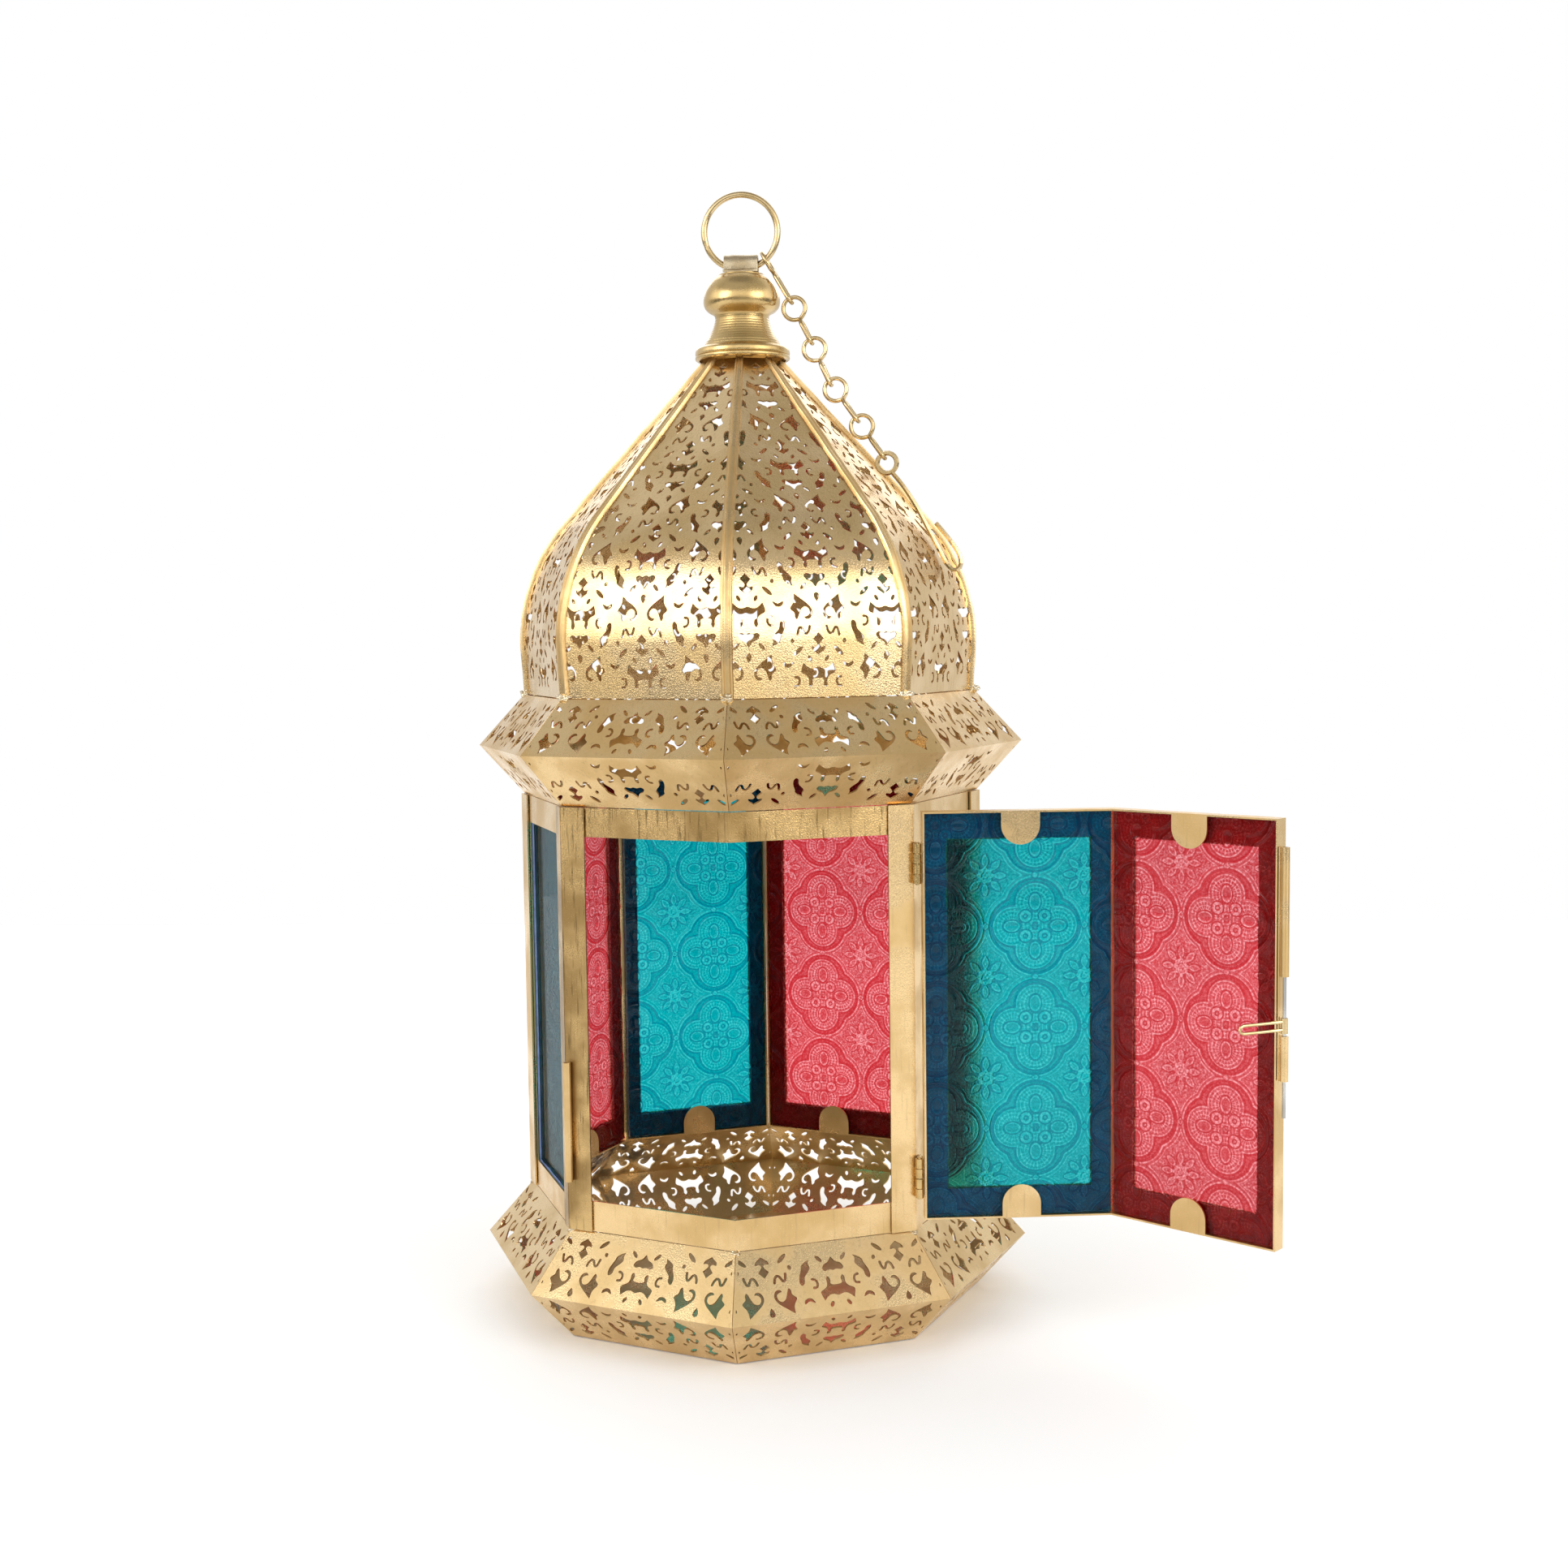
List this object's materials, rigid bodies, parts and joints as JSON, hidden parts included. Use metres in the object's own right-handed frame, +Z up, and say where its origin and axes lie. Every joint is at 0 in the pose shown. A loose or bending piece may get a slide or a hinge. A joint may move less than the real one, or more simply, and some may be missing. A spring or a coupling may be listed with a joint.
{
  "type": "candle lantern",
  "caption": "Eight-sided gold metal candle lantern with pierced onion dome, red and turquoise patterned panes, a hinged two-panel door, carrying ring and chain with hook.",
  "frame": {"origin": "centre of the floor plate's underside, where the lantern stands", "axes": "+Z up through the finial; -Y points out of the door corner, +X to the viewer's right"},
  "size_m": [0.282, 0.2059, 0.406],
  "materials": {
    "gold_sheet": "satin gold paint on sheet metal, fine grain",
    "gold_dome": "brushed gold paint, pierced",
    "gold_base": "satin gold paint, pierced, soot stains inside",
    "gold_cast": "turned and lacquered",
    "gold_wire": "drawn wire",
    "steel_rod": "bare rod",
    "blue_glass": "pressed pattern, turquoise",
    "red_glass": "pressed pattern, red"
  },
  "bodies": {
    "lantern": {"base_panel_1": "gold_base", "base_panel_2": "gold_base", "base_panel_3": "gold_base", "base_panel_4": "gold_base", "base_panel_5": "gold_base", "base_panel_6": "gold_base", "base_panel_7": "gold_base", "base_panel_8": "gold_base", "blue_pane_2": "blue_glass", "blue_pane_4": "blue_glass", "blue_pane_6": "blue_glass", "bottom_rail": "gold_sheet", "dome_panel_1": "gold_dome", "dome_panel_2": "gold_dome", "dome_panel_3": "gold_dome", "dome_panel_4": "gold_dome", "dome_panel_5": "gold_dome", "dome_panel_6": "gold_dome", "dome_panel_7": "gold_dome", "dome_panel_8": "gold_dome", "eave_panel_1": "gold_sheet", "eave_panel_2": "gold_sheet", "eave_panel_3": "gold_sheet", "eave_panel_4": "gold_sheet", "eave_panel_5": "gold_sheet", "eave_panel_6": "gold_sheet", "eave_panel_7": "gold_sheet", "eave_panel_8": "gold_sheet", "finial": "gold_cast", "floor_plate": "gold_base", "latch_keeper_tube": "gold_sheet", "left_post": "gold_sheet", "lower_hinge_post_leaf": "gold_sheet", "red_pane_1": "red_glass", "red_pane_3": "red_glass", "red_pane_5": "red_glass", "right_post": "gold_sheet", "strap_eye": "gold_sheet", "top_rail": "gold_sheet", "upper_hinge_post_leaf": "gold_sheet", "wall_back_left": "gold_sheet", "wall_back_right": "gold_sheet", "wall_left": "gold_sheet", "wall_right": "gold_sheet"},
    "door": {"door_blue_pane": "blue_glass", "door_frame": "gold_sheet", "door_red_pane": "red_glass", "latch_guides": "gold_sheet", "lower_hinge_door_leaf": "gold_sheet", "upper_hinge_door_leaf": "gold_sheet"},
    "latch_bolt": {"latch_rod": "steel_rod"},
    "latch_handle": {"latch_handle": "gold_wire"},
    "ring": {"carry_ring": "gold_wire"},
    "link_1": {"chain_link_1": "gold_wire"},
    "link_2": {"chain_link_2": "gold_wire"},
    "link_3": {"chain_link_3": "gold_wire"},
    "link_4": {"chain_link_4": "gold_wire"},
    "link_5": {"chain_link_5": "gold_wire"},
    "hook": {"chain_hook": "gold_wire"}
  },
  "joints": [
    {"name": "door_swing", "type": "hinge", "parent": "lantern", "child": "door", "pos_m": [0.06193, -0.06224, 0.112], "axis": [0, 0, 1], "range_deg": [-163.5, 4]},
    {"name": "latch_slide", "type": "slide", "parent": "door", "child": "latch_bolt", "axis": [0, 0, 1], "range_m": [0, 0.0112]},
    {"name": "latch_turn", "type": "hinge", "parent": "latch_bolt", "child": "latch_handle", "pos_m": [0.17868, -0.09617, 0.1176], "axis": [0, 0, 1], "range_deg": [-6, 210]},
    {"name": "ring_tilt", "type": "hinge", "parent": "lantern", "child": "ring", "pos_m": [0, 0, 0.37802], "axis": [1, 0, 0], "range_deg": [-60, 0]},
    {"name": "link_1_swing", "type": "hinge", "parent": "ring", "child": "link_1", "pos_m": [0.009, 0, 0.3815], "axis": [-0.2079, -0.9781, 0], "range_deg": [0, 24]},
    {"name": "link_2_swing", "type": "hinge", "parent": "link_1", "child": "link_2", "pos_m": [0.01761, -0.00374, 0.3665], "axis": [-0.2079, -0.9781, 0], "range_deg": [0, 12]},
    {"name": "link_3_swing", "type": "hinge", "parent": "link_2", "child": "link_3", "pos_m": [0.02504, -0.00532, 0.3516], "axis": [-0.2079, -0.9781, 0], "range_deg": [0, 12]},
    {"name": "link_4_swing", "type": "hinge", "parent": "link_3", "child": "link_4", "pos_m": [0.03189, -0.00678, 0.3364], "axis": [-0.2079, -0.9781, 0], "range_deg": [0, 12]},
    {"name": "link_5_swing", "type": "hinge", "parent": "link_4", "child": "link_5", "pos_m": [0.04138, -0.0088, 0.3228], "axis": [-0.2079, -0.9781, 0], "range_deg": [0, 12]},
    {"name": "hook_swing", "type": "hinge", "parent": "link_5", "child": "hook", "pos_m": [0.05086, -0.01081, 0.3092], "axis": [-0.2079, -0.9781, 0], "range_deg": [0, 12]}
  ],
  "couplings": [
    {"joint": "latch_turn", "follows": "door_swing", "ratio": -1.28}
  ]
}
